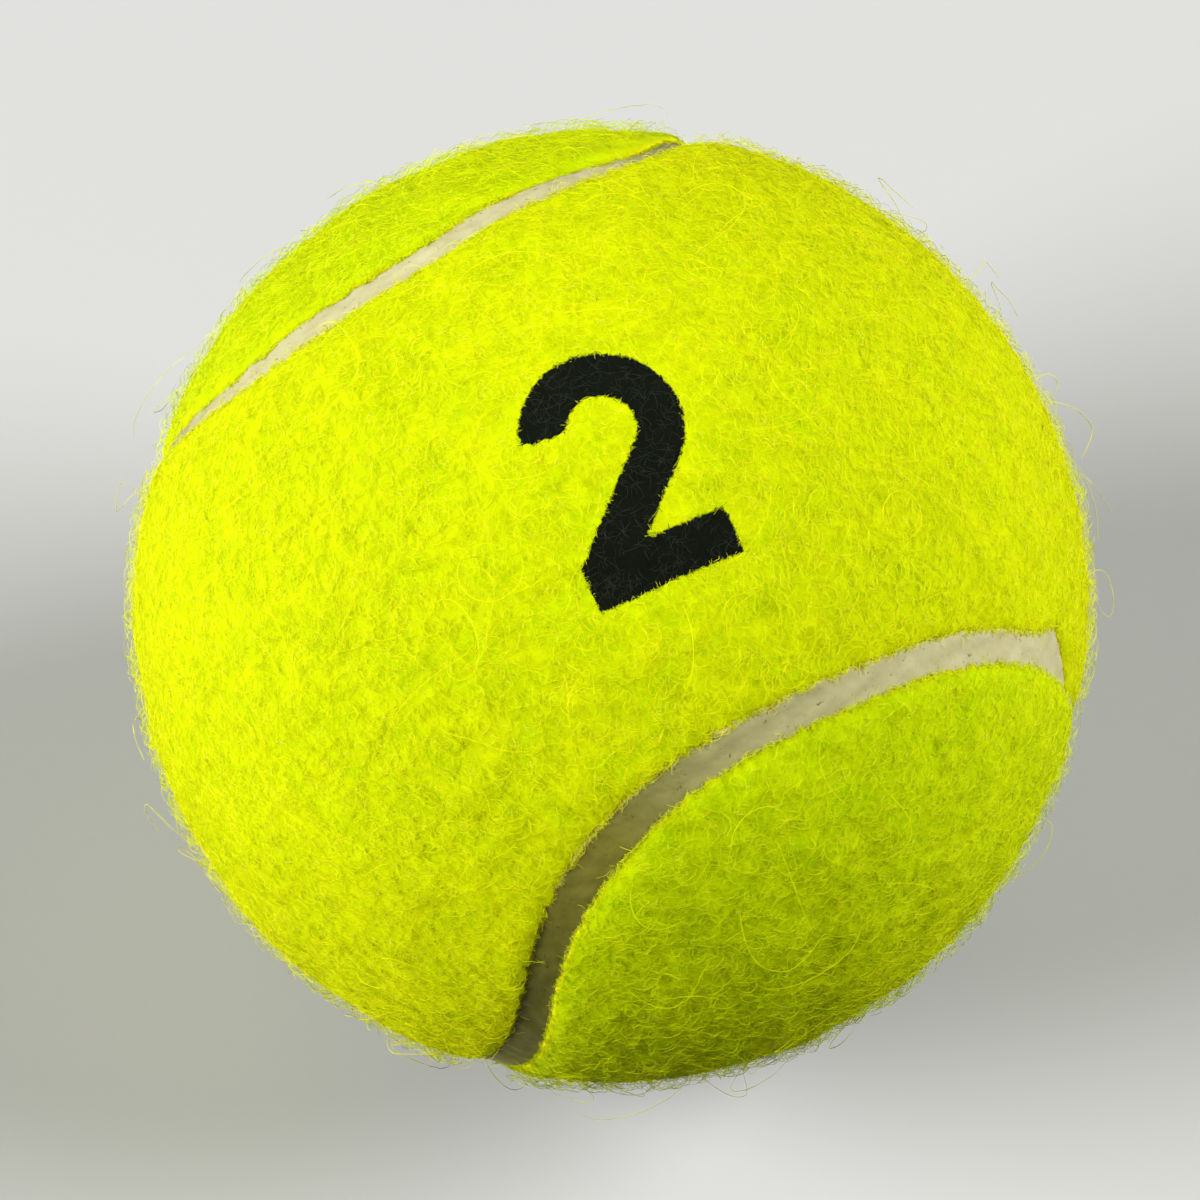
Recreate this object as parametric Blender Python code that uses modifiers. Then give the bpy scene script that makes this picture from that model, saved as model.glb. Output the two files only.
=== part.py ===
"""Padel ball: two cemented rubber cups under two glued felt panels, with a cement seam between the panels.

Lengths are in metres and +Z is up. The ball rests on the plane z = 0, with the middle of its
pressed flat at the origin. The felt's pattern lies in the ball's own frame, which BALL_TURN turns:
one panel's waist is round the ball's own +Z, and the other panel's waist is round its -Z.
"""

import math

import bmesh
import bpy
from mathutils import Vector

# Driving dimensions
BALL_DIAMETER = 0.0656
FELT_THICKNESS = 0.0027
FELT_EDGE_RADIUS = 0.0014
PANEL_WAIST = 0.0427  # over the felt, from seam middle to seam middle at a panel's narrowest place
SEAM_WIDTH = 0.0026
SEAM_DEPTH = 0.0011  # from the felt's outside down to the seam's top
GLUE_THICKNESS = 0.0004
CORE_WALL = 0.0033
CORE_CEMENT_THICKNESS = 0.0004
REST_FLAT_DEPTH = 0.0005
CLEARANCE = 0.0003  # between neighbours that are cemented together
WELD = 0.000002

# How the ball lies on the floor, in degrees about X, then Y, then Z
BALL_TURN = (2.5, -14.0, 76.5)

# Counts of the mesh
SEAM_STEPS = 80  # round the whole seam, a multiple of 4
SURFACE_STEPS = 5  # from a panel's middle line to its edge
EDGE_STEPS = 3  # round a panel's soft edge
CORE_STEPS = 48  # round the core
CORE_ARC_STEPS = 9  # from a cup's pole to its rim

# Sizes that follow
BALL_RADIUS = BALL_DIAMETER / 2
FELT_INSIDE = BALL_RADIUS - FELT_THICKNESS
GLUE_OUTSIDE = FELT_INSIDE - CLEARANCE
GLUE_INSIDE = GLUE_OUTSIDE - GLUE_THICKNESS
CORE_OUTSIDE = GLUE_INSIDE - CLEARANCE
CORE_INSIDE = CORE_OUTSIDE - CORE_WALL
CUP_RIM_HEIGHT = CORE_CEMENT_THICKNESS / 2 + CLEARANCE
SEAM_TOP = BALL_RADIUS - SEAM_DEPTH
SEAM_BOTTOM = CORE_OUTSIDE + CLEARANCE
SEAM_HALF_ANGLE = SEAM_WIDTH / 2 / SEAM_TOP
PANEL_EDGE_ANGLE = (SEAM_WIDTH / 2 + CLEARANCE) / SEAM_TOP
EDGE_RADIUS = min(FELT_EDGE_RADIUS, FELT_THICKNESS)
WAIST_ANGLE = PANEL_WAIST / BALL_DIAMETER  # from the middle of the waist to the seam
LOBE_ANGLE = math.pi / 4  # the seam's greatest distance from a panel's middle line
LOBE_CENTRE = math.pi - WAIST_ANGLE - LOBE_ANGLE  # from the waist to the middle of a lobe
LONG_AXIS = Vector((1, -1, 0)).normalized()  # the way the upper panel's lobes point


def clear_scene():
    for item in list(bpy.data.objects):
        bpy.data.objects.remove(item, do_unlink=True)


def add_collection(name):
    collection = bpy.data.collections.new(name)
    bpy.context.scene.collection.children.link(collection)
    return collection


def add_material(name, colour, roughness):
    material = bpy.data.materials.new(name)
    material.use_nodes = True
    shader = material.node_tree.nodes["Principled BSDF"]
    shader.inputs["Base Color"].default_value = (*colour, 1)
    shader.inputs["Roughness"].default_value = roughness
    shader.inputs["Metallic"].default_value = 0
    material.diffuse_color = (*colour, 1)
    return material


def seam_place(angle):
    """The seam's direction from the ball's centre at this angle along it, and the direction across it
    into the upper panel. The seam is a circle with a threefold wave, which lies on a sphere."""
    circle = (1 + math.sin(WAIST_ANGLE)) / 2
    wave = 1 - circle
    rise = math.cos(WAIST_ANGLE)
    place = Vector((
        circle * math.cos(angle) + wave * math.cos(3 * angle),
        circle * math.sin(angle) - wave * math.sin(3 * angle),
        rise * math.sin(2 * angle),
    ))
    along = Vector((
        -circle * math.sin(angle) - 3 * wave * math.sin(3 * angle),
        circle * math.cos(angle) - 3 * wave * math.cos(3 * angle),
        2 * rise * math.cos(2 * angle),
    ))
    return place, place.cross(along).normalized()


def seam_angle(step):
    """Steps start at a lobe's end, so that those on a panel's two long sides face each other."""
    return 2 * math.pi * step / SEAM_STEPS - math.pi / 4


def middle_line_place(place):
    """The direction on the upper panel's middle line that faces this place on the seam."""
    turn = math.atan2(place.dot(LONG_AXIS), place.z)
    turn = max(-LOBE_CENTRE, min(LOBE_CENTRE, turn))
    return Vector((0, 0, 1)) * math.cos(turn) + LONG_AXIS * math.sin(turn)


def panel_point(step, radius, inset, share):
    """A point of the upper panel at this radius. Share runs from 0 on the middle line to 1 at the
    edge, and inset draws the edge in."""
    place, across = seam_place(seam_angle(step))
    edge = place * math.cos(PANEL_EDGE_ANGLE) + across * math.sin(PANEL_EDGE_ANGLE)
    middle = middle_line_place(place)
    reach = 1 - inset / (radius * middle.angle(edge))
    return middle.slerp(edge, share * reach) * radius


def wrap_grid(name, rows, point):
    """A mesh from a grid with one column for each step of the seam, each of its vertices moved to
    point(step, row). Rows and columns that meet are welded, which closes it."""
    shape = bmesh.new()
    bmesh.ops.create_grid(shape, x_segments=SEAM_STEPS, y_segments=len(rows) - 1, size=1)
    for vertex in shape.verts:
        step = round((vertex.co.x + 1) / 2 * SEAM_STEPS) % SEAM_STEPS
        row = rows[round((vertex.co.y + 1) / 2 * (len(rows) - 1))]
        vertex.co = point(step, row)
    bmesh.ops.remove_doubles(shape, verts=shape.verts, dist=WELD)
    bmesh.ops.recalc_face_normals(shape, faces=shape.faces)
    mesh = bpy.data.meshes.new(name)
    shape.to_mesh(mesh)
    shape.free()
    mesh.shade_smooth()
    mesh.set_sharp_from_angle(angle=math.radians(40))
    return mesh


def shares():
    return [step / SURFACE_STEPS for step in range(SURFACE_STEPS + 1)]


def felt_mesh():
    """One felt panel: a curved sheet whose outer edge is rounded down into the seam's groove."""
    rows = [(BALL_RADIUS, EDGE_RADIUS, share) for share in shares()]
    for step in range(1, EDGE_STEPS + 1):
        turn = math.pi / 2 * step / EDGE_STEPS
        radius = BALL_RADIUS - EDGE_RADIUS * (1 - math.cos(turn))
        rows.append((radius, EDGE_RADIUS * (1 - math.sin(turn)), 1))
    rows += [(FELT_INSIDE, 0, share) for share in reversed(shares())]
    return wrap_grid("felt_panel", rows, lambda step, row: panel_point(step, *row))


def glue_mesh():
    """The film of rubber glue under one felt panel, with the panel's outline."""
    rows = [(GLUE_OUTSIDE, 0, share) for share in shares()]
    rows += [(GLUE_INSIDE, 0, share) for share in reversed(shares())]
    return wrap_grid("felt_glue", rows, lambda step, row: panel_point(step, *row))


def seam_mesh():
    """The loop of seam cement that fills the bottom of the groove between the panels."""
    corners = [(SEAM_TOP, -1), (SEAM_TOP, 1), (SEAM_BOTTOM, 1), (SEAM_BOTTOM, -1), (SEAM_TOP, -1)]

    def corner_point(step, corner):
        radius, side = corner
        place, across = seam_place(seam_angle(step))
        turn = side * SEAM_HALF_ANGLE
        return (place * math.cos(turn) + across * math.sin(turn)) * radius

    return wrap_grid("seam_cement", corners, corner_point)


def profile_mesh(name, points, closed):
    """A line of edges through points of the XZ plane, ready to be turned."""
    shape = bmesh.new()
    vertices = [shape.verts.new((x, 0, z)) for x, z in points]
    pairs = list(zip(vertices, vertices[1:]))
    if closed:
        pairs.append((vertices[-1], vertices[0]))
    for pair in pairs:
        shape.edges.new(pair)
    mesh = bpy.data.meshes.new(name)
    shape.to_mesh(mesh)
    shape.free()
    return mesh


def cup_arc(radius):
    """Points from the pole down to the rim of a cup's face at this radius."""
    rim = math.acos(CUP_RIM_HEIGHT / radius)
    turns = [rim * step / CORE_ARC_STEPS for step in range(CORE_ARC_STEPS + 1)]
    return [(radius * math.sin(turn), radius * math.cos(turn)) for turn in turns]


def cup_profile():
    """Half of the core in section: down the outside, across the rim and back up the inside."""
    return profile_mesh("core_half", cup_arc(CORE_OUTSIDE) + cup_arc(CORE_INSIDE)[::-1], closed=False)


def core_cement_profile():
    """The flat ring of cement between the two rims, in section."""
    top = CORE_CEMENT_THICKNESS / 2
    outside = math.sqrt(CORE_OUTSIDE ** 2 - CUP_RIM_HEIGHT ** 2)
    inside = math.sqrt(CORE_INSIDE ** 2 - CUP_RIM_HEIGHT ** 2)
    corners = [(outside, top), (outside, -top), (inside, -top), (inside, top)]
    return profile_mesh("core_cement", corners, closed=True)


def add_part(collection, parent, name, mesh, material, turned_over=False):
    """A sub-part in the ball's frame. Turned over half a turn about X, the seam lies on itself, and
    what was on the ball's +Z side is on its -Z side."""
    part = bpy.data.objects.new(name, mesh)
    collection.objects.link(part)
    part.parent = parent
    part.rotation_euler.x = math.pi if turned_over else 0
    if not mesh.materials:
        mesh.materials.append(material)
    return part


def add_turning(part):
    screw = part.modifiers.new("turned", "SCREW")
    screw.axis = "Z"
    screw.angle = 2 * math.pi
    screw.steps = CORE_STEPS
    screw.render_steps = CORE_STEPS
    screw.use_merge_vertices = True
    screw.merge_threshold = WELD
    screw.use_smooth_shade = True


def press_flat(collection, panel):
    """Cuts the small flat on which the ball rests into the panel under it."""
    bpy.ops.mesh.primitive_cube_add(size=BALL_DIAMETER, location=(0, 0, -BALL_RADIUS))
    floor = bpy.context.object
    floor.name = "floor_cutter"
    for holder in list(floor.users_collection):
        holder.objects.unlink(floor)
    collection.objects.link(floor)
    floor.hide_render = True
    floor.display_type = "WIRE"
    cut = panel.modifiers.new("rest flat", "BOOLEAN")
    cut.operation = "DIFFERENCE"
    cut.solver = "EXACT"
    cut.object = floor


def main():
    clear_scene()
    parts = add_collection("padel_ball")
    cutters = add_collection("cutters")

    ball = bpy.data.objects.new("ball_frame", None)
    parts.objects.link(ball)
    ball.location.z = BALL_RADIUS - REST_FLAT_DEPTH
    ball.rotation_euler = [math.radians(turn) for turn in BALL_TURN]

    felt = add_material("yellow felt", (0.66, 0.80, 0.01), 0.95)
    seam_rubber = add_material("pale seam cement", (0.58, 0.55, 0.42), 0.75)
    glue = add_material("felt glue", (0.62, 0.50, 0.30), 0.6)
    core_rubber = add_material("core rubber", (0.10, 0.10, 0.11), 0.8)
    core_glue = add_material("core cement", (0.05, 0.05, 0.05), 0.6)

    cup = cup_profile()
    add_turning(add_part(parts, ball, "core_half_a", cup, core_rubber))
    add_turning(add_part(parts, ball, "core_half_b", cup, core_rubber, turned_over=True))
    add_turning(add_part(parts, ball, "core_cement", core_cement_profile(), core_glue))

    film = glue_mesh()
    add_part(parts, ball, "felt_glue_a", film, glue)
    add_part(parts, ball, "felt_glue_b", film, glue, turned_over=True)

    panel = felt_mesh()
    add_part(parts, ball, "felt_panel_a", panel, felt)
    lower_panel = add_part(parts, ball, "felt_panel_b", panel, felt, turned_over=True)
    press_flat(cutters, lower_panel)

    add_part(parts, ball, "seam_cement", seam_mesh(), seam_rubber)


main()
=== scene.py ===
"""Padel ball: napped felt panels, a ragged cement seam and their fibres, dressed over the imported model.

The felt's pattern is worked out in the ball's own frame, where one panel's waist is round +Z and the other
panel is the same shape turned over half a turn about X. to_world() then lays the ball on the floor.
"""

import math

import bmesh
import bpy
import numpy as np
from mathutils import Euler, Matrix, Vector


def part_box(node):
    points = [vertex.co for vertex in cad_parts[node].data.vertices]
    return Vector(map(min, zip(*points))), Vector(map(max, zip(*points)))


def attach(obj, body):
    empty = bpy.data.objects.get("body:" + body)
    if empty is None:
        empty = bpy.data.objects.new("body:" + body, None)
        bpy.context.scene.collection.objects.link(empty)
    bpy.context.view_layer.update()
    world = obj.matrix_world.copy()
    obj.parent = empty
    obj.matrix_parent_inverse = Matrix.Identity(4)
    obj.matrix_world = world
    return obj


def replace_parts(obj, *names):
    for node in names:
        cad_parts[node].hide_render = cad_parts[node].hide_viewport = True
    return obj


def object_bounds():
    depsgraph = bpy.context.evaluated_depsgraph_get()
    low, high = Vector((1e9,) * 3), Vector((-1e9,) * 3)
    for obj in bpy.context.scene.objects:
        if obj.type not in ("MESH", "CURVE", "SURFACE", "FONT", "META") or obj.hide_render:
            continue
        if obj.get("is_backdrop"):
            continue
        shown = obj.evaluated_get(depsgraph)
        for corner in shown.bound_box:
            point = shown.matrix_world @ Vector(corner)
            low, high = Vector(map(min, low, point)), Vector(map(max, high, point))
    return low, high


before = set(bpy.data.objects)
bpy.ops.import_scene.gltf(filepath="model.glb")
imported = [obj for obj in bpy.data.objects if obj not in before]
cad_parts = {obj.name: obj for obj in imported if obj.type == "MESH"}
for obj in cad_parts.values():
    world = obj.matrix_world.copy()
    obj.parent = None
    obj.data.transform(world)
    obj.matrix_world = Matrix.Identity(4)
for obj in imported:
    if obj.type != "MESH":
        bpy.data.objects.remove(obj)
CAD_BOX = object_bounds()

# Sizes from the frame, in metres
PANEL_LOW, PANEL_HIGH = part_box("felt_panel_a")
BALL_RADIUS = (PANEL_HIGH.x - PANEL_LOW.x) / 2
CENTRE = np.array((0, 0, PANEL_HIGH.z - BALL_RADIUS))
FLOOR_HEIGHT = CAD_BOX[0].z

# The ball's sizes, in metres, and the way it lies, in degrees
BALL_TURN = (2.5, -14.0, 76.5)
PANEL_WAIST = 0.0427
FELT_THICKNESS = 0.0027
SEAM_WIDTH = 0.0027
SEAM_DEPTH = 0.00032  # under the ball's measured size, where the cement isn't sunken
SEAM_BOTTOM_DEPTH = 0.0034

# Felt
NAP_HEIGHT = 0.00012  # the matted cloth lies this far under the ball's measured size
EDGE_REACH = 0.0015  # how far from its edge a panel starts to round down
EDGE_DROP = 0.00030
EDGE_DRIFT = 0.00014  # slow change of the seam's width
DRIFT_WAVES = (2, 14)  # least and most waves in a turn round the seam
EDGE_RAGGED = 0.00013  # how deep its nicks are
NICK_LIMIT = 1.2  # of that
NICK_WAVES = (90, 240)
FINE_NICK_WAVES = (240, 420)
FINE_NICKS = 0.6  # of the others
ROUGH_WAVES = (8, 50)  # of rougher and straighter stretches
ROUGH_RANGE = (0.15, 1.4)
WARM_REACH = 0.0004  # how far in from its cut edge the felt is warmer
FELT_COLUMNS = 1280
FELT_ROWS = 54
EDGE_ROWS = 9
INSIDE_ROWS = 6
RELIEF = ((0.0065, 0.00005), (0.0028, 0.00003), (0.0012, 0.00002))  # size and height of the felt's lumps
LUMP_WAVES = 28
LUMP_SPREAD = (0.6, 1.4)  # of their size
STEEPEST = 0.12  # slope of the felt's rounded edge that the light on its fibres follows at most
EDGE_GUARD = 0.01  # of EDGE_REACH, nearer than which the slope would have no end

# Seam. Each stretch of it has a middle and a spread in degrees along it, and an amount.
SEAM_WANDERS = ((3, 0.00045, 25), (7, 0.00044, 8), (8, 0.00066, -20.5))  # waves, reach, crest in degrees
SEAM_SHIFTS = ((50, 38, 0.00130), (27, 7, 0.00080), (40.5, 4, -0.00050), (70, 10, 0.00040))  # towards panel a
SEAM_WIDENED = ((48, 9, 0.00030), (29, 10, -0.00130), (73, 11, -0.00130), (220, 8, -0.00030))
PANEL_A_REACHES = ((251, 6, 0.00055), (257, 2.2, -0.00070), (263, 3.4, 0.00180), (270, 6, 0.00130))  # over it
SEAM_SINKS = ((186, 14, 0.00045), (12, 15, 0.00040), (82, 10, 0.00025))
# Darker stretches of the cement: partly real stain, partly painted shade where its groove is shaded, darkest
# at its lower end
SEAM_STAINS_AND_SHADE = ((200, 27, 1.1), (184, 13, 0.75), (12, 15, 1.0), (82, 10, 0.7), (275, 12, 0.5))
THICKEST_STAIN_AND_SHADE = 2
SEAM_COLUMNS = 1600
SEAM_ROWS = 18
SEAM_SAMPLES = 1440  # places along it where its edges are kept
SEAM_OVERLAP = 0.00015  # how far it runs in under the felt
SEAM_DRIFT = 0.00006  # slow change of its depth
TOP_WAVES = (3, 30)
SEAM_LUMPS = ((0.0018, 0.00004), (0.0007, 0.000012))  # size and height
EDGE_TUCK = 0.00012  # how far the cement's rims dip under the felt
TUCK_POWER = 12
RIM_REACH = 0.0002  # how far in from its rims the cement is yellower: partly felt stain, partly painted light bounced off the felt
RIM_STAIN_AND_BOUNCE = 0.8
WOBBLE_WAVES = 24

# Fibres, in metres. rise is their height over the felt and bend their curl, in radians per metre. The light
# on them follows the felt under them, and the more roundness the more their own sides.
NAP = {
    "length": (0.0005, 0.0015), "rise": (0.00002, 0.00016), "bend": 500, "radius": 0.000015,
    "steps": 2, "sides": 3, "roundness": 0.75,
}
GLINTS = {
    "length": (0.0005, 0.0016), "rise": (0.00006, 0.00024), "bend": 350, "radius": 0.000018,
    "steps": 3, "sides": 3, "roundness": 0.9,
}
SPARKS = {
    "length": (0.0002, 0.0006), "rise": (0.00010, 0.00024), "bend": 300, "radius": 0.000020,
    "steps": 2, "sides": 3, "roundness": 0.2,
}
FRINGE = {
    "length": (0.0003, 0.0010), "rise": (0.00002, 0.00024), "bend": 700, "radius": 0.000016,
    "steps": 3, "sides": 3, "roundness": 0.4,
}
CUT_ENDS = {
    "length": (0.00015, 0.0005), "rise": (0.00001, 0.00006), "bend": 900, "radius": 0.000017,
    "steps": 2, "sides": 3, "roundness": 0.5,
}
LOOPS = {
    "length": (0.0012, 0.0032), "rise": (0.00015, 0.00100), "bend": 1900, "radius": 0.000016,
    "steps": 7, "sides": 3, "roundness": 0.9,
}
STRAYS = {
    "length": (0.0050, 0.0110), "rise": (0.0010, 0.0028), "bend": 380, "radius": 0.000022,
    "steps": 26, "sides": 4, "roundness": 0.9,
}
NAP_PIECES = 7
NAP_EACH = 13000
GLINTS_EACH = 9000
SPARKS_EACH = 3000
LOOP_PIECES = 3
LOOPS_EACH = 4300
LOOP_TINT_STEP = 2  # tints from one piece of loops to the next
STRAYS_EACH = 90
FRINGE_EACH = 8000
FRINGE_REACH = 0.0006
CUT_ENDS_EACH = 3500
CUT_ENDS_REACH = 0.00015
FRINGE_LEAN = 1.2  # how much the fringe leans towards the seam
CURL_LIMIT = 6.5  # radians that a fibre turns at most
SWING = (0.2, 0.9)  # radians that it sways to each side
SWAYS = (0.3, 1.1)  # along its length
LANDING = (0.55, 1)  # share of an arch that it makes, where 1 is a whole one
ROOT_TRIES = 3  # places drawn for each root that is wanted
ROOT_DEPTH = 0.00005
FLOOR_GAPS = (0.00005, 0.0003)  # least and most height of a fibre that the floor presses up
THIN_END = 0.45  # of its radius
SWELL = 0.55  # and this much more in its middle
TAPER_SPAN = (0.04, 0.96)  # of half a wave, from one end to the other
RADIUS_SPREAD = (0.75, 1.25)
TWIST = 0.05
OVERHANG = 0.00035  # how far a fibre hangs over the seam
CROSSING = 0.03  # the share that lies right across it

# Printed number on the upper panel
MARK_PLACE = (0.017, -0.314, 0.949)  # its direction from the ball's centre
MARK_TURN = 25  # degrees that its line rises to the right, seen from the front
MARK_HEIGHT = 0.0160
MARK_STROKE = 0.19  # of its height
BOWL_RADIUS = 0.235  # of its height, as the rest of its outline is
BOWL_TURNS = (172, -42)  # degrees where the bowl starts and where it runs into the neck
BOWL_POINTS = 26
NECK_END = -0.27
FOOT_HALF = 0.31
CUT_RISE = 0.02  # of the straight cut where the bowl starts
CUT_SLOPE = 0.14
WORN_TINTS = 2  # of the nap's tints, the lightest, take the ink less well
INK_REACH = 0.002  # how far from the outline its distance is kept
INK_SPREAD = 0.00006  # how far the ink runs along a fibre
INK_BLOTS = 0.30

# Colours, as linear red, green and blue
FELT_COLOUR = (0.79, 0.90, 0.001)
FELT_SHADE = (0.65, 0.83, 0.001)
FELT_GLINT = (0.84, 0.92, 0.002)
FELT_GLOW = (1.0, 1.0, 0.4)  # how far red, green and blue light spread inside the wool, as shares
FELT_GLOW_REACH = 0.0005
EDGE_COLOUR = (0.66, 0.56, 0.004)
NAP_SHADE = (0.70, 0.87, 0.001)
NAP_LIGHT = (0.95, 0.96, 0.004)
PATCH_SIZE = 0.0035  # of lighter and darker wool
PATCH_MIX = {1: 1.7, -1: 1.0}  # how much the tints mix, on panel a and panel b
GLINT_TINT = (0.97, 0.94, 0.012)
# Whitish tint of the short pale fibres: partly paler fibres, partly a painted highlight standing in for
# glints on the nap
SPARK_TINT_AND_HIGHLIGHT = (0.99, 0.99, 0.08)
CUT_TINT = (0.76, 0.62, 0.006)
SEAM_COLOUR = (0.70, 0.65, 0.37)
SEAM_SHADE = (0.60, 0.55, 0.28)
SEAM_STAIN_AND_SHADE = (0.32, 0.315, 0.077)  # what 1 of stain and painted shade lets through
SEAM_THICK_STAIN_AND_SHADE = (0.135, 0.140, 0.020)  # and the thickest
# Yellow of the cement's rims: partly felt stain, partly painted light bounced off the felt
SEAM_RIM_STAIN_AND_BOUNCE = (0.72, 0.62, 0.20)
GREENER_FOR_SHADE = 0.92  # painted shade: panel b's felt keeps this much of its red, greener all over to stand in for the shade on its lower lobe
INK_COLOUR = (0.008, 0.011, 0.006)
INK_WORN = (0.030, 0.036, 0.024)
GRAIN_SHADE = (0.88, 0.90, 0.80)
# Painted shade in the cement's pits
PIT_SHADE = (0.40, 0.38, 0.33)
CORE_COLOURS = ((0.075, 0.075, 0.080), (0.110, 0.110, 0.115))
CEMENT_COLOURS = ((0.035, 0.035, 0.035), (0.060, 0.060, 0.060))
GLUE_COLOURS = ((0.50, 0.40, 0.22), (0.64, 0.53, 0.32))
BLACK = (0, 0, 0)
WHITE = (1, 1, 1)

# Scales of the materials' patterns, per metre
PATCH_SCALE = 330
GRAIN_SCALE = 2600
WEB_SCALE = 1500
WEB_BEND_SCALE = 900
WEB_BEND = 0.0008  # metres
WEB_FAINTNESS = 0.55  # share of black in its strands
CLOUD_SCALE = 420
PIT_SCALE = 2600
RUBBER_SCALE = 300

# Light: two wide lamps, on the left and on the right, and the light that comes from all round
KEY_TOWARDS = (-0.85, -0.25, 0.50)
KEY_LEVEL = 1.24
FILL_TOWARDS = (0.80, 0.05, 0.60)
FILL_LEVEL = 0.98
LAMP_WIDTH = 36  # degrees
WORLD_LIGHT = (0.05, 0.05, 0.05)  # lights the ball
WORLD_SEEN = (0.742, 0.742, 0.730)  # what the camera, gloss and glass see instead
FLOOR_LIGHT = (0.07, 0.07, 0.07)
FLOOR_SEEN = (0.60, 0.60, 0.59)
FLOOR_SIZE = 40
FLOOR_DROP = 0.00005  # so that the ball's flat and the floor don't share a plane

# The photograph's view: its camera stands this high over the floor and this many ball radii away
CAMERA_ELEVATION = math.radians(56)
CAMERA_DISTANCE = 10.4
FRAME_PIXELS = 1200
BALL_PIXELS = 476  # the radius of the ball's outline
BALL_AT = (611, 606)  # and its middle
SENSOR = 36  # millimetres

SEED = 7
draw = np.random.default_rng(SEED)

# Seeds of the lines along the seam and of the fields of lumps
DRIFT_SEED = SEED + 20
NICK_SEED = SEED + 30
ROUGH_SEED = SEED + 34
FINE_NICK_SEED = SEED + 38
TOP_SEED = SEED + 40
SEAM_LUMP_SEED = SEED + 50
PATCH_SEED = SEED + 60

# Making of the meshes
WELD_DISTANCE = 1e-7
BLOCK = 50000  # directions that are looked up at a time

WAIST_ANGLE = PANEL_WAIST / (2 * BALL_RADIUS)
LOBE_CENTRE = math.pi - WAIST_ANGLE - math.pi / 4
LONG_AXIS = np.array((1, -1, 0)) / math.sqrt(2)
TURN = np.array(Euler([math.radians(angle) for angle in BALL_TURN]).to_matrix())
TURNED_OVER = np.array((1, -1, -1))
FELT_RADIUS = BALL_RADIUS - NAP_HEIGHT


def unit(vectors):
    return vectors / np.linalg.norm(vectors, axis=-1, keepdims=True)


def to_world(points):
    return points @ TURN.T + CENTRE


def to_directions(places):
    return unit((places - CENTRE) @ TURN)


def seam_frame(angles):
    """The seam's direction at these angles along it, and the direction across it into panel a."""
    circle = (1 + math.sin(WAIST_ANGLE)) / 2
    wave = 1 - circle
    rise = math.cos(WAIST_ANGLE)
    place = np.stack([
        circle * np.cos(angles) + wave * np.cos(3 * angles),
        circle * np.sin(angles) - wave * np.sin(3 * angles),
        rise * np.sin(2 * angles),
    ], axis=-1)
    along = np.stack([
        -circle * np.sin(angles) - 3 * wave * np.sin(3 * angles),
        circle * np.cos(angles) - 3 * wave * np.cos(3 * angles),
        2 * rise * np.cos(2 * angles),
    ], axis=-1)
    return place, unit(np.cross(place, along))


def wobble(angles, waves, seed):
    """A smooth random line round the seam, about 1 high, with this range of waves in a turn."""
    dice = np.random.default_rng(seed)
    total = np.zeros_like(angles)
    for _ in range(WOBBLE_WAVES):
        total += np.sin(dice.integers(*waves) * angles + dice.uniform(0, 2 * math.pi))
    return total / math.sqrt(WOBBLE_WAVES / 2)


def lump_waves(size, seed):
    """The waves of a smooth random field with lumps of this size: their vectors and where they start."""
    dice = np.random.default_rng(seed)
    for _ in range(LUMP_WAVES):
        wave = unit(dice.normal(size=3)) * dice.uniform(*LUMP_SPREAD) * 2 * math.pi / size
        yield wave, dice.uniform(0, 2 * math.pi)


def lumps(points, size, seed):
    """That field over points in metres, about 1 high."""
    total = sum(np.sin(points @ wave + start) for wave, start in lump_waves(size, seed))
    return total / math.sqrt(LUMP_WAVES / 2)


def lump_slopes(points, size, seed):
    """The direction in which that field climbs, and how much per metre."""
    total = sum(np.cos(points @ wave + start)[..., None] * wave for wave, start in lump_waves(size, seed))
    return total / math.sqrt(LUMP_WAVES / 2)


def felt_relief(directions):
    """How far the felt's lumps stand out, in metres."""
    points = directions * BALL_RADIUS
    return sum(height * lumps(points, size, SEED + n) for n, (size, height) in enumerate(RELIEF))


def stretches(angles, rows):
    """The sum of smooth stretches along the seam: middle and spread in degrees, and how much."""
    total = np.zeros_like(angles)
    for middle, spread, amount in rows:
        away = (np.degrees(angles) - middle + 180) % 360 - 180
        total += amount * np.exp(-(away / spread) ** 2)
    return total


def seam_wander(angles):
    """How far the seam strays from its even line towards panel a, in metres."""
    waves = np.zeros_like(angles)
    for count, reach, crest in SEAM_WANDERS:
        waves += reach * np.cos(count * (angles - math.radians(crest)))
    return waves + stretches(angles, SEAM_SHIFTS)


def edge_offset(angles, side):
    """From the seam's line to the felt's edge, before it frays, on panel a's side (1) or panel b's (-1)."""
    drift = EDGE_DRIFT * wobble(angles, DRIFT_WAVES, DRIFT_SEED + side)
    half = (SEAM_WIDTH + stretches(angles, SEAM_WIDENED)) / 2
    reach = stretches(angles, PANEL_A_REACHES) if side > 0 else 0
    return half + side * seam_wander(angles) + drift - reach


def edge_fray(angles, side):
    """Nicks and tufts along the felt's edge, rough in some stretches and nearly straight in others."""
    rough = np.clip(0.5 + 0.5 * wobble(angles, ROUGH_WAVES, ROUGH_SEED + side), *ROUGH_RANGE)
    nicks = wobble(angles, NICK_WAVES, NICK_SEED + side)
    nicks += FINE_NICKS * wobble(angles, FINE_NICK_WAVES, FINE_NICK_SEED + side)
    return EDGE_RAGGED * rough * NICK_LIMIT * np.tanh(nicks / NICK_LIMIT)


def seam_top(angles):
    """The radius of the cement's top."""
    depth = SEAM_DEPTH + stretches(angles, SEAM_SINKS)
    return BALL_RADIUS - depth + SEAM_DRIFT * wobble(angles, TOP_WAVES, TOP_SEED)


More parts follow.
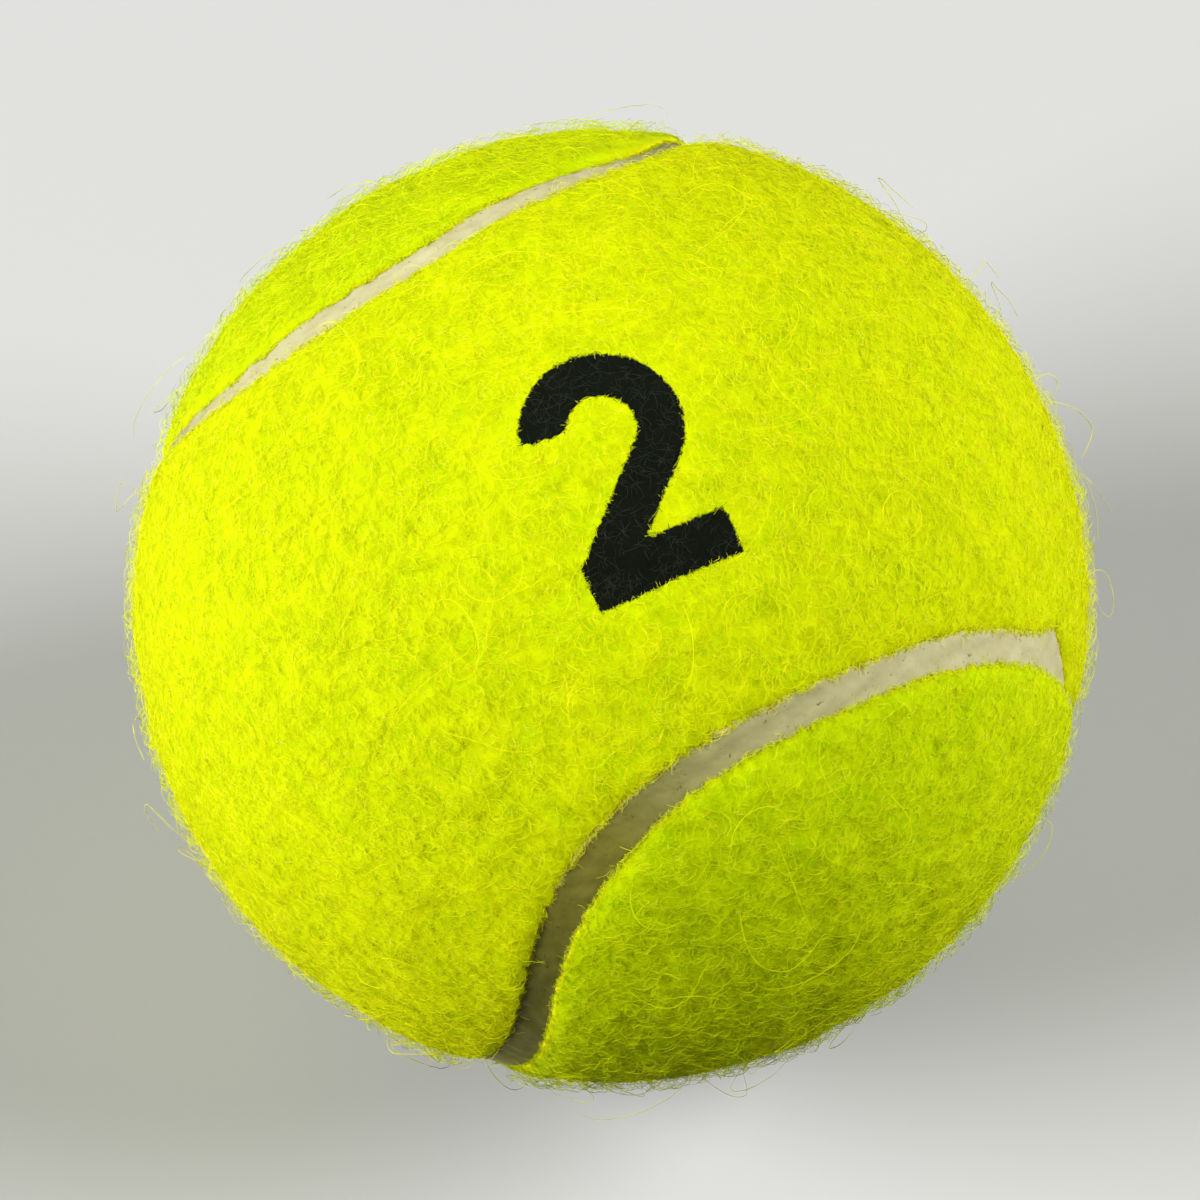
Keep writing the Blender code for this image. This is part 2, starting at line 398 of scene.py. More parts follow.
SAMPLE_ANGLES = np.linspace(0, 2 * math.pi, SEAM_SAMPLES, endpoint=False)
SAMPLE_PLACES, SAMPLE_ACROSS = seam_frame(SAMPLE_ANGLES)
SAMPLE_EDGES = {side: edge_offset(SAMPLE_ANGLES, side) + edge_fray(SAMPLE_ANGLES, side) for side in (1, -1)}
SAMPLE_TOPS = seam_top(SAMPLE_ANGLES)
# How much stain and painted shade each seam sample takes
SAMPLE_STAINS_AND_SHADE = np.clip(stretches(SAMPLE_ANGLES, SEAM_STAINS_AND_SHADE) / THICKEST_STAIN_AND_SHADE, 0, 1)


def near_seam(directions):
    """The distance of each direction from the seam's line, in metres, more than 0 on panel a's side, and
    the seam sample that is nearest."""
    flat = directions.reshape(-1, 3)
    nearest = np.empty(len(flat), int)
    places = SAMPLE_PLACES.astype(np.float32).T
    for start in range(0, len(flat), BLOCK):
        block = flat[start:start + BLOCK].astype(np.float32)
        nearest[start:start + BLOCK] = (block @ places).argmax(axis=1)
    along = (flat * SAMPLE_PLACES[nearest]).sum(axis=1)
    across = (flat * SAMPLE_ACROSS[nearest]).sum(axis=1)
    distance = np.arccos(np.clip(along, -1, 1)) * BALL_RADIUS * np.sign(across)
    shape = directions.shape[:-1]
    return distance.reshape(shape), nearest.reshape(shape)


def nearer_edge(distance, nearest):
    """From the seam's line to the felt's edge on the side where each of these places lies."""
    return np.where(distance > 0, SAMPLE_EDGES[1][nearest], SAMPLE_EDGES[-1][nearest])


def edge_inset(directions):
    """How far each direction lies inside the nearer felt edge, in metres, less than 0 over the seam."""
    distance, nearest = near_seam(directions)
    return np.abs(distance) - nearer_edge(distance, nearest)


def side_inset(directions, side):
    """How far each direction lies inside one panel's edge, in metres."""
    distance, nearest = near_seam(directions)
    return side * distance - SAMPLE_EDGES[side][nearest]


def surface_radius(directions):
    """The radius of the felt, or over the groove of the seam, in these directions."""
    distance, nearest = near_seam(directions)
    inset = np.abs(distance) - nearer_edge(distance, nearest)
    part = 1 - np.clip(inset / EDGE_REACH, 0, 1)
    felt = FELT_RADIUS - EDGE_DROP * (1 - np.sqrt(1 - part ** 2)) + felt_relief(directions) * (1 - part)
    return np.where(inset > 0, felt, SAMPLE_TOPS[nearest])


def felt_normals(places):
    """The way that the felt faces under these places in the world, with its lumps and its rounded edges."""
    directions = to_directions(places)
    points = directions * BALL_RADIUS
    slope = sum(height * lump_slopes(points, size, SEED + n) for n, (size, height) in enumerate(RELIEF))
    distance, nearest = near_seam(directions)
    inset = np.abs(distance) - nearer_edge(distance, nearest)
    part = 1 - np.clip(inset / EDGE_REACH, EDGE_GUARD, 1)
    fall = np.minimum(EDGE_DROP / EDGE_REACH * part / np.sqrt(1 - part ** 2), STEEPEST)
    slope = slope + (fall * np.sign(distance))[..., None] * SAMPLE_ACROSS[nearest]
    slope -= directions * (slope * directions).sum(axis=-1, keepdims=True)
    return unit(directions - slope) @ TURN.T


def add_object(name, mesh):
    piece = bpy.data.objects.new(name, mesh)
    bpy.context.scene.collection.objects.link(piece)
    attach(piece, "root")
    return piece


def wrapped_mesh(name, points, closed_rows):
    """A mesh over points[row, column]. The columns go round, and so do the rows if closed_rows is set.
    Points that meet are welded."""
    rows, columns = points.shape[:2]
    index = np.arange(rows * columns).reshape(rows, columns)
    if closed_rows:
        index = np.vstack([index, index[:1]])
    index = np.hstack([index, index[:, :1]])
    quads = np.stack([index[:-1, :-1], index[:-1, 1:], index[1:, 1:], index[1:, :-1]], axis=-1)
    mesh = bpy.data.meshes.new(name)
    mesh.from_pydata(points.reshape(-1, 3), [], quads.reshape(-1, 4).tolist())
    shape = bmesh.new()
    shape.from_mesh(mesh)
    bmesh.ops.remove_doubles(shape, verts=shape.verts, dist=WELD_DISTANCE)
    bmesh.ops.recalc_face_normals(shape, faces=shape.faces)
    shape.to_mesh(mesh)
    shape.free()
    mesh.shade_smooth()
    return mesh


def vertex_places(mesh):
    flat = np.empty(len(mesh.vertices) * 3, np.float32)
    mesh.vertices.foreach_get("co", flat)
    return flat.reshape(-1, 3)


def store(mesh, name, values):
    mesh.attributes.new(name, "FLOAT", "POINT").data.foreach_set("value", values.astype(np.float32))


def add_felt_panel(side, material):
    """One felt panel as a closed sheet. It is worked out as panel a, and panel b is turned over."""
    angles = 2 * math.pi * np.arange(FELT_COLUMNS) / FELT_COLUMNS - math.pi / 4
    place, across = seam_frame(angles)
    lean = np.clip(np.arctan2(place @ LONG_AXIS, place[:, 2]), -LOBE_CENTRE, LOBE_CENTRE)[:, None]
    middle = np.cos(lean) * np.array((0, 0, 1)) + np.sin(lean) * LONG_AXIS

    shares = np.linspace(0, 1, FELT_ROWS)
    rows = [(FELT_RADIUS, EDGE_REACH, share, 1) for share in shares]
    for turn in np.linspace(0, math.pi / 2, EDGE_ROWS + 1)[1:]:
        radius = FELT_RADIUS - EDGE_DROP * (1 - math.cos(turn))
        rows.append((radius, EDGE_REACH * (1 - math.sin(turn)), 1, math.cos(turn)))
    rows += [(BALL_RADIUS - FELT_THICKNESS, 0, share, 0) for share in np.linspace(1, 0, INSIDE_ROWS)]
    radius, inset, share, relief = (column[:, None] for column in np.array(rows).T)

    frayed = edge_offset(side * angles, side) + edge_fray(side * angles, side) * (1 - inset / EDGE_REACH)
    turn = (frayed / BALL_RADIUS)[..., None]
    edge = place * np.cos(turn) + across * np.sin(turn)
    between = np.arccos((middle * edge).sum(axis=-1))
    part = share * (1 - inset / (radius * between))
    weights = np.sin((1 - part) * between), np.sin(part * between)
    directions = (weights[0][..., None] * middle + weights[1][..., None] * edge) / np.sin(between)[..., None]
    if side < 0:
        directions = directions * TURNED_OVER
    points = to_world(directions * (radius + relief * felt_relief(directions))[..., None])
    points[..., 2] = np.maximum(points[..., 2], FLOOR_HEIGHT)

    name = "felt_a" if side > 0 else "felt_b"
    panel = add_object(name, wrapped_mesh(name, points, closed_rows=False))
    panel.data.materials.append(material)
    places = vertex_places(panel.data)
    store(panel.data, "ink_depth", np.clip(mark_depth(places) / INK_REACH, -1, 1))
    store(panel.data, "rim", np.clip(1 - side_inset(to_directions(places), side) / WARM_REACH, 0, 1))
    return panel


def add_seam(material):
    """The loop of cement between the panels: its top is uneven and tucks under both felt edges."""
    angles = 2 * math.pi * np.arange(SEAM_COLUMNS) / SEAM_COLUMNS
    place, across = seam_frame(angles)
    left = -edge_offset(angles, -1) - edge_fray(angles, -1) - SEAM_OVERLAP
    right = edge_offset(angles, 1) + edge_fray(angles, 1) + SEAM_OVERLAP
    top = seam_top(angles)
    bottom = np.full_like(top, BALL_RADIUS - SEAM_BOTTOM_DEPTH)
    sections = []
    for share in np.linspace(0, 1, SEAM_ROWS):
        rim = abs(2 * share - 1)
        sections.append((left + share * (right - left), top - EDGE_TUCK * rim ** TUCK_POWER))
    sections += [(right, bottom), (left, bottom)]
    points = []
    for offset, radius in sections:
        turn = (offset / BALL_RADIUS)[:, None]
        points.append((place * np.cos(turn) + across * np.sin(turn)) * radius[:, None])
    points = np.array(points)
    skin = points[:SEAM_ROWS]
    uneven = np.zeros(skin.shape[:-1])
    for n, (size, height) in enumerate(SEAM_LUMPS):
        uneven += height * lumps(skin, size, SEAM_LUMP_SEED + n)
    points[:SEAM_ROWS] = unit(skin) * (np.linalg.norm(skin, axis=-1) + uneven)[..., None]
    seam = add_object("seam", wrapped_mesh("seam", to_world(points), closed_rows=True))
    seam.data.materials.append(material)
    directions = to_directions(vertex_places(seam.data))
    # The cement's rims take partly felt stain and partly painted bounce light from the felt
    store(seam.data, "rim", RIM_STAIN_AND_BOUNCE * np.clip(1 + edge_inset(directions) / RIM_REACH, 0, 1))
    store(seam.data, "stain_and_shade", SAMPLE_STAINS_AND_SHADE[near_seam(directions)[1]])
    return seam


def mark_frame():
    """The printed number's outward, rightward and upward directions in the world."""
    normal = unit(np.array(MARK_PLACE))
    right = unit(np.array((1, 0, 0)) - normal * normal[0])
    up = np.cross(normal, right)
    turn = math.radians(MARK_TURN)
    return normal, right * math.cos(turn) + up * math.sin(turn), up * math.cos(turn) - right * math.sin(turn)


def mark_depth(points):
    """How far points in the world lie inside the printed number, in metres: a bowl that runs into a slanted
    neck, cut off square, and a foot."""
    normal, right, up = mark_frame()
    away = points - CENTRE
    x = away @ right / MARK_HEIGHT
    y = away @ up / MARK_HEIGHT
    half = MARK_STROKE / 2
    bowl_height = 0.5 - half - BOWL_RADIUS
    turns = np.radians(np.linspace(*BOWL_TURNS, BOWL_POINTS))
    line_x = np.append(BOWL_RADIUS * np.cos(turns), NECK_END)
    line_y = np.append(bowl_height + BOWL_RADIUS * np.sin(turns), -0.5 + half)
    distance = np.full(x.shape, np.inf)
    for n in range(len(line_x) - 1):
        run_x = line_x[n + 1] - line_x[n]
        run_y = line_y[n + 1] - line_y[n]
        share = ((x - line_x[n]) * run_x + (y - line_y[n]) * run_y) / (run_x ** 2 + run_y ** 2)
        near = np.clip(share, 0, 1)
        found = np.hypot(x - line_x[n] - near * run_x, y - line_y[n] - near * run_y)
        distance = np.minimum(distance, found)
    curve = np.minimum(half - distance, np.minimum(y + 0.5, x + FOOT_HALF))
    before_start = (y < line_y[0] + CUT_RISE - CUT_SLOPE * (x - line_x[0])) & (x < 0) & (y > 0)
    curve = np.where(before_start, -1, curve)
    foot_across = np.minimum(x + FOOT_HALF, FOOT_HALF - x)
    foot = np.minimum(foot_across, np.minimum(y + 0.5, MARK_STROKE - 0.5 - y))
    return np.where(away @ normal > 0, np.maximum(curve, foot), -1) * MARK_HEIGHT


def fibre_roots(count, side):
    """Random places on one panel, count of them."""
    found = unit(draw.normal(size=(ROOT_TRIES * count, 3)))
    return found[side_inset(found, side) > 0][:count]


def fringe_roots(count, side, reach):
    """Random places along one panel's edge, and the direction from each towards the seam."""
    angles = draw.uniform(0, 2 * math.pi, count)
    place, across = seam_frame(angles)
    offset = edge_offset(angles, side) + edge_fray(angles, side) + draw.uniform(0, reach, count)
    turn = (side * offset / BALL_RADIUS)[:, None]
    return place * np.cos(turn) + across * np.sin(turn), -side * across


def fibre_lines(roots, side, kind, lean=0):
    """Centre lines of fibres in the world: line, point along it, place. Each starts in the felt, wanders
    over it in curls and comes back to it or ends in the air, and heads off at random or with this lean. Few
    reach far over the seam."""
    count = len(roots)
    first = unit(unit(np.cross(roots, unit(draw.normal(size=(count, 3))))) + lean)
    second = np.cross(roots, first)
    steps = kind["steps"]
    share = np.linspace(0, 1, steps + 1)
    long = draw.uniform(*kind["length"], (count, 1))
    curve = np.clip(draw.normal(0, kind["bend"], (count, 1)) * long, -CURL_LIMIT, CURL_LIMIT)
    swing = draw.uniform(*SWING, (count, 1))
    sways = draw.uniform(*SWAYS, (count, 1))
    phase = draw.uniform(0, 2 * math.pi, (count, 1))
    heading = curve * share + swing * np.sin(2 * math.pi * sways * share + phase)
    ahead = np.cumsum(np.cos(heading), axis=1) * long / steps
    aside = np.cumsum(np.sin(heading), axis=1) * long / steps
    directions = unit(
        roots[:, None] * BALL_RADIUS + ahead[..., None] * first[:, None] + aside[..., None] * second[:, None]
    )
    kept = side_inset(directions, side).min(axis=1) > -OVERHANG
    kept |= draw.random(count) < CROSSING
    directions = directions[kept]
    count = len(directions)
    landing = draw.uniform(*LANDING, (count, 1))
    height = draw.uniform(*kind["rise"], (count, 1)) * np.sin(math.pi * landing * share)
    height -= ROOT_DEPTH * (1 - share) ** 4
    points = to_world(directions * (surface_radius(directions) + height)[..., None])
    pressed_up = FLOOR_HEIGHT + draw.uniform(*FLOOR_GAPS, (count, 1))
    points[..., 2] = np.maximum(points[..., 2], pressed_up)
    return points


def tube_mesh(name, lines, radius, sides, roundness):
    """One mesh of closed tubes along the lines, thinner at both ends. The light on them follows the felt
    under them, and the more roundness the more their own sides."""
    count, rings = lines.shape[:2]
    along = unit(np.gradient(lines, axis=1))
    outward = unit(lines - CENTRE) + draw.normal(0, TWIST, (count, 1, 3))
    aside = unit(np.cross(along, outward))
    upward = np.cross(along, aside)
    swell = np.sin(math.pi * np.linspace(*TAPER_SPAN, rings)) ** 0.5
    taper = radius * (THIN_END + SWELL * swell)
    taper = taper * draw.uniform(*RADIUS_SPREAD, (count, 1))
    turns = 2 * math.pi * np.arange(sides) / sides
    ring = np.cos(turns)[:, None] * aside[:, :, None] + np.sin(turns)[:, None] * upward[:, :, None]
    points = lines[:, :, None] + ring * taper[..., None, None]

    index = np.arange(count * rings * sides).reshape(count, rings, sides)
    after = np.roll(index, -1, axis=2)
    walls = np.stack([index[:, :-1], after[:, :-1], after[:, 1:], index[:, 1:]], axis=-1).reshape(-1, 4)
    caps = np.concatenate([index[:, 0, ::-1], index[:, -1]])
    mesh = bpy.data.meshes.new(name)
    mesh.vertices.add(points.size // 3)
    mesh.vertices.foreach_set("co", points.astype(np.float32).ravel())
    corners = np.concatenate([walls.ravel(), caps.ravel()]).astype(np.int32)
    totals = np.concatenate([np.full(len(walls), 4), np.full(len(caps), sides)])
    mesh.loops.add(len(corners))
    mesh.loops.foreach_set("vertex_index", corners)
    mesh.polygons.add(len(totals))
    mesh.polygons.foreach_set("loop_start", np.concatenate([[0], np.cumsum(totals)[:-1]]).astype(np.int32))
    mesh.update(calc_edges=True)
    mesh.shade_smooth()
    normals = unit(roundness * ring + felt_normals(lines)[:, :, None])
    mesh.normals_split_custom_set_from_vertices(normals.reshape(-1, 3))
    return mesh


def add_fibres(name, lines, kind, material):
    mesh = tube_mesh(name, lines, kind["radius"], kind["sides"], kind["roundness"])
    mesh.materials.append(material)
    return add_object(name, mesh)


def resampled(line, start, end):
    """The part of a line between two of its points, with as many points as the whole line."""
    steps = len(line) - 1
    places = np.linspace(start, end, steps + 1)
    return np.stack([np.interp(places, np.arange(steps + 1), line[:, axis]) for axis in range(3)], axis=1)


def split_inked(lines):
    """The fibres, cut where they pass the printed number's outline: the inked ones, and the rest."""
    inside = mark_depth(lines) > draw.normal(0, INK_SPREAD, (len(lines), 1))
    count = inside.sum(axis=1)
    steps = lines.shape[1] - 1
    inked = [lines[count == steps + 1]]
    plain = [lines[count == 0]]
    for line, marks in zip(lines[(count > 0) & (count <= steps)], inside[(count > 0) & (count <= steps)]):
        changes = np.flatnonzero(marks[1:] != marks[:-1]) + 0.5
        bounds = np.concatenate([[0], changes, [steps]])
        for start, end in zip(bounds, bounds[1:]):
            part = resampled(line, start, end)[None]
            (inked if marks[int(math.ceil(start))] else plain).append(part)
    return np.concatenate(inked), np.concatenate(plain)


def clear_of_mark(lines):
    """The fibres that lie clear of the printed number."""
    return lines[mark_depth(lines).max(axis=1) < 0]


def add_nap(side, tints, glint, spark_highlight, cut, ink, worn):
    """All the fibres of one panel, in pieces small enough to keep whole, each with one of these materials.
    tints are the nap's, from the darkest to the lightest."""
    panel = "a" if side > 0 else "b"
    pieces = []
    lines = np.concatenate([fibre_lines(fibre_roots(NAP_EACH, side), side, NAP) for _ in tints])
    tone = lumps(lines[:, 0] - CENTRE, PATCH_SIZE, PATCH_SEED) + draw.normal(0, PATCH_MIX[side], len(lines))
    printed = []
    for n, part in enumerate(np.array_split(lines[np.argsort(tone)], len(tints))):
        inked, plain = split_inked(part)
        printed.append(inked)
        pieces.append(add_fibres(f"nap_{panel}_{n + 1}", plain, NAP, tints[n]))
    inked, plain = split_inked(fibre_lines(fibre_roots(GLINTS_EACH, side), side, GLINTS))
    pieces.append(add_fibres(f"glints_{panel}", plain, GLINTS, glint))
    lines = clear_of_mark(fibre_lines(fibre_roots(SPARKS_EACH, side), side, SPARKS))
    pieces.append(add_fibres(f"sparks_{panel}", lines, SPARKS, spark_highlight))
    if len(inked):
        pieces.append(add_fibres(f"nap_{panel}_printed", np.concatenate(printed[:-WORN_TINTS]), NAP, ink))
        pieces.append(add_fibres(f"nap_{panel}_worn", np.concatenate(printed[-WORN_TINTS:]), NAP, worn))
        pieces.append(add_fibres(f"glints_{panel}_printed", inked, GLINTS, worn))
    roots, towards = fringe_roots(FRINGE_EACH, side, FRINGE_REACH)
    lines = fibre_lines(roots, side, FRINGE, FRINGE_LEAN * towards)
    pieces.append(add_fibres(f"fringe_{panel}", lines, FRINGE, tints[len(tints) // 2]))
    roots, towards = fringe_roots(CUT_ENDS_EACH, side, CUT_ENDS_REACH)
    lines = fibre_lines(roots, side, CUT_ENDS, FRINGE_LEAN * towards)
    pieces.append(add_fibres(f"cut_ends_{panel}", lines, CUT_ENDS, cut))
    for n in range(LOOP_PIECES):
        lines = clear_of_mark(fibre_lines(fibre_roots(LOOPS_EACH, side), side, LOOPS))
        pieces.append(add_fibres(f"loops_{panel}_{n + 1}", lines, LOOPS, tints[-1 - LOOP_TINT_STEP * n]))
    lines = clear_of_mark(fibre_lines(fibre_roots(STRAYS_EACH, side), side, STRAYS))
    pieces.append(add_fibres(f"strays_{panel}", lines, STRAYS, tints[-1]))
    return pieces


def new_material(name):
    material = bpy.data.materials.new(name)
    material.use_nodes = True
    nodes = material.node_tree.nodes
    return material, material.node_tree, nodes["Principled BSDF"]


def add_node(tree, kind, **values):
    """A node with these sockets set by name, underscores standing for spaces."""
    node = tree.nodes.new(kind)
    for name, value in values.items():
        node.inputs[name.replace("_", " ")].default_value = value
    return node


def add_noise(tree, where, scale, detail, roughness):
    noise = add_node(tree, "ShaderNodeTexNoise", Scale=scale, Detail=detail, Roughness=roughness)
    tree.links.new(where, noise.inputs["Vector"])
    return noise.outputs["Fac"]


def add_ramp(tree, factor, stops):
    ramp = tree.nodes.new("ShaderNodeValToRGB")
    elements = ramp.color_ramp.elements
    while len(elements) < len(stops):
        elements.new(0.5)
    for element, (place, colour) in zip(elements, stops):
        element.position = place
        element.color = (*colour, 1)
    tree.links.new(factor, ramp.inputs["Fac"])
    return ramp.outputs["Color"]


def add_mix(tree, factor, under, over, blend="MIX"):
    """A mix of two colours. factor and over are each a socket or a value."""
    mix = tree.nodes.new("ShaderNodeMix")
    mix.data_type = "RGBA"
    mix.blend_type = blend
    tree.links.new(under, mix.inputs["A"])
    for socket, value in (("Factor", factor), ("B", over)):
        if isinstance(value, bpy.types.NodeSocket):
            tree.links.new(value, mix.inputs[socket])
        else:
            mix.inputs[socket].default_value = value
    return mix.outputs["Result"]


def add_attribute(tree, name):
    node = tree.nodes.new("ShaderNodeAttribute")
    node.attribute_name = name
    return node.outputs["Fac"]


def reddened(colour, red):
    """This colour with a share of its red."""
    return colour[0] * red, colour[1], colour[2]


def felt_material(name, red):
    """Matted wool under the nap: greener and yellower patches, a web of fine fibres, a warm cut edge and the
    printed number's ink. red is the share that is left of the red."""
    material, tree, shader = new_material(name)
    shader.inputs["Roughness"].default_value = 0.95
    shader.inputs["Specular IOR Level"].default_value = 0.02
    shader.inputs["Subsurface Weight"].default_value = 1
    shader.inputs["Subsurface Radius"].default_value = FELT_GLOW
    shader.inputs["Subsurface Scale"].default_value = FELT_GLOW_REACH
    where = tree.nodes.new("ShaderNodeTexCoord").outputs["Object"]
    patches = add_noise(tree, where, PATCH_SCALE, detail=3, roughness=0.5)
    fine = add_noise(tree, where, GRAIN_SCALE, detail=4, roughness=0.6)
    shade, light, glint_colour = (reddened(tone, red) for tone in (FELT_SHADE, FELT_COLOUR, FELT_GLINT))
    colour = add_ramp(tree, patches, ((0.32, shade), (0.62, light)))
    grain = add_ramp(tree, fine, ((0.30, GRAIN_SHADE), (0.55, WHITE)))
    colour = add_mix(tree, 1, colour, grain, "MULTIPLY")

    warp = add_node(tree, "ShaderNodeTexNoise", Scale=WEB_BEND_SCALE, Detail=2)
    tree.links.new(where, warp.inputs["Vector"])
    bent = tree.nodes.new("ShaderNodeVectorMath")
    bent.operation = "MULTIPLY_ADD"
    tree.links.new(warp.outputs["Color"], bent.inputs[0])
    bent.inputs[1].default_value = (WEB_BEND, WEB_BEND, WEB_BEND)
    tree.links.new(where, bent.inputs[2])
    web = add_node(tree, "ShaderNodeTexVoronoi", Scale=WEB_SCALE)
    web.feature = "DISTANCE_TO_EDGE"
    tree.links.new(bent.outputs[0], web.inputs["Vector"])
    strands = add_ramp(tree, web.outputs["Distance"], ((0.0, WHITE), (0.10, BLACK)))
    glint = add_mix(tree, WEB_FAINTNESS, strands, (*BLACK, 1))
    colour = add_mix(tree, glint, colour, (*glint_colour, 1))

    tufts = add_ramp(tree, fine, ((0.34, BLACK), (0.56, WHITE)))
    rim = add_mix(tree, 1, tufts, add_attribute(tree, "rim"), "MULTIPLY")
    colour = add_mix(tree, rim, colour, (*EDGE_COLOUR, 1))
    blots = tree.nodes.new("ShaderNodeMath")
    blots.operation = "MULTIPLY_ADD"
    tree.links.new(fine, blots.inputs[0])
    blots.inputs[1].default_value = INK_BLOTS
    tree.links.new(add_attribute(tree, "ink_depth"), blots.inputs[2])
    ink = add_ramp(tree, blots.outputs[0], ((0.12, BLACK), (0.18, WHITE)))
    colour = add_mix(tree, ink, colour, (*INK_COLOUR, 1))
    tree.links.new(colour, shader.inputs["Base Color"])
    bump = add_node(tree, "ShaderNodeBump", Strength=0.35, Distance=0.00015)
    tree.links.new(fine, bump.inputs["Height"])
    tree.links.new(bump.outputs["Normal"], shader.inputs["Normal"])
    return material


def fibre_material(name, colour):
    material, _, shader = new_material(name)
    shader.inputs["Base Color"].default_value = (*colour, 1)
    shader.inputs["Roughness"].default_value = 0.5
    shader.inputs["Specular IOR Level"].default_value = 0.03
    return material


def seam_material():
    """Set cement: pale, cloudy and pitted, with painted shade in its pits, darker in stretches of stain and
    painted shade, and yellower at its rims with felt stain and painted light bounced off the felt.
    """
    material, tree, shader = new_material("seam cement")
    shader.inputs["Roughness"].default_value = 0.65
    shader.inputs["Specular IOR Level"].default_value = 0.2
    where = tree.nodes.new("ShaderNodeTexCoord").outputs["Object"]
    clouds = add_noise(tree, where, CLOUD_SCALE, detail=5, roughness=0.6)
    pits = add_noise(tree, where, PIT_SCALE, detail=3, roughness=0.6)
    colour = add_ramp(tree, clouds, ((0.3, SEAM_SHADE), (0.7, SEAM_COLOUR)))
    # Painted shade and stain: the cement is darker along the stretches listed in SEAM_STAINS_AND_SHADE
    stain_and_shade = add_attribute(tree, "stain_and_shade")
    stain_and_shade = add_ramp(tree, stain_and_shade, ((0, WHITE), (1 / THICKEST_STAIN_AND_SHADE, SEAM_STAIN_AND_SHADE), (1, SEAM_THICK_STAIN_AND_SHADE)))
    colour = add_mix(tree, 1, colour, stain_and_shade, "MULTIPLY")
    # Painted shade: the cement is darker where its bump is lowest, in its pits
    pit_shading = add_ramp(tree, pits, ((0.27, PIT_SHADE), (0.36, WHITE)))
    colour = add_mix(tree, 1, colour, pit_shading, "MULTIPLY")
    # Painted bounce light from the felt, partly real felt stain, yellows the cement's rims
    colour = add_mix(tree, add_attribute(tree, "rim"), colour, (*SEAM_RIM_STAIN_AND_BOUNCE, 1))
    tree.links.new(colour, shader.inputs["Base Color"])
    bump = add_node(tree, "ShaderNodeBump", Strength=0.4, Distance=0.0001)
    tree.links.new(pits, bump.inputs["Height"])
    tree.links.new(bump.outputs["Normal"], shader.inputs["Normal"])
    return material


def rubber_material(name, colours, roughness):
    """Moulded or set rubber for the pieces inside, cloudy between two colours."""
    material, tree, shader = new_material(name)
    shader.inputs["Roughness"].default_value = roughness
    where = tree.nodes.new("ShaderNodeTexCoord").outputs["Object"]
    clouds = add_noise(tree, where, RUBBER_SCALE, detail=4, roughness=0.6)
    colour = add_ramp(tree, clouds, ((0.35, colours[0]), (0.65, colours[1])))
    tree.links.new(colour, shader.inputs["Base Color"])
    return material


def dress_inside():
    """Better materials for the pieces that stay as they are, under the felt."""
    core = rubber_material("core rubber", CORE_COLOURS, roughness=0.75)
    cement = rubber_material("core cement", CEMENT_COLOURS, roughness=0.5)
    glue = rubber_material("felt glue", GLUE_COLOURS, roughness=0.5)
    dressed = {
        "core_half_a": core,
        "core_half_b": core,
        "core_cement": cement,
        "felt_glue_a": glue,
        "felt_glue_b": glue,
    }
    for node, material in dressed.items():
        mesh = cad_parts[node].data
        mesh.materials.clear()
        mesh.materials.append(material)


def add_camera():
    data = bpy.data.cameras.new("camera")
    camera = bpy.data.objects.new("camera", data)
    bpy.context.scene.collection.objects.link(camera)
    back = Vector((0, -math.cos(CAMERA_ELEVATION), math.sin(CAMERA_ELEVATION)))
    camera.location = Vector(CENTRE) + back * CAMERA_DISTANCE * BALL_RADIUS
    camera.rotation_euler = (-back).to_track_quat("-Z", "Y").to_euler()
    data.sensor_width = SENSOR
    data.lens = SENSOR / FRAME_PIXELS * BALL_PIXELS * math.sqrt(CAMERA_DISTANCE ** 2 - 1)
    data.shift_x = (FRAME_PIXELS / 2 - BALL_AT[0]) / FRAME_PIXELS
    data.shift_y = (BALL_AT[1] - FRAME_PIXELS / 2) / FRAME_PIXELS
    data.clip_start = 0.01
    bpy.context.scene.camera = camera


def add_soft_lamp(name, towards, level, width):
    """A wide lamp far away in this direction. A white surface that faces it is level bright. width is how
    wide it looks, in degrees."""
    data = bpy.data.lights.new(name, "SUN")
    data.energy = level * math.pi
    data.angle = math.radians(width)
    lamp = bpy.data.objects.new(name, data)
    bpy.context.scene.collection.objects.link(lamp)
    lamp.rotation_euler = Vector(towards).to_track_quat("Z", "Y").to_euler()


def add_seen_shade(tree, unseen, seen):
    """The colour that lights the ball, and the one that the camera, gloss and glass see instead."""
    rays = tree.nodes.new("ShaderNodeLightPath")
    total = rays.outputs["Is Camera Ray"]
    for kind in ("Is Glossy Ray", "Is Transmission Ray"):
        both = tree.nodes.new("ShaderNodeMath")
        tree.links.new(total, both.inputs[0])
        tree.links.new(rays.outputs[kind], both.inputs[1])
        total = both.outputs[0]
    return add_ramp(tree, total, ((0, unseen), (1, seen)))


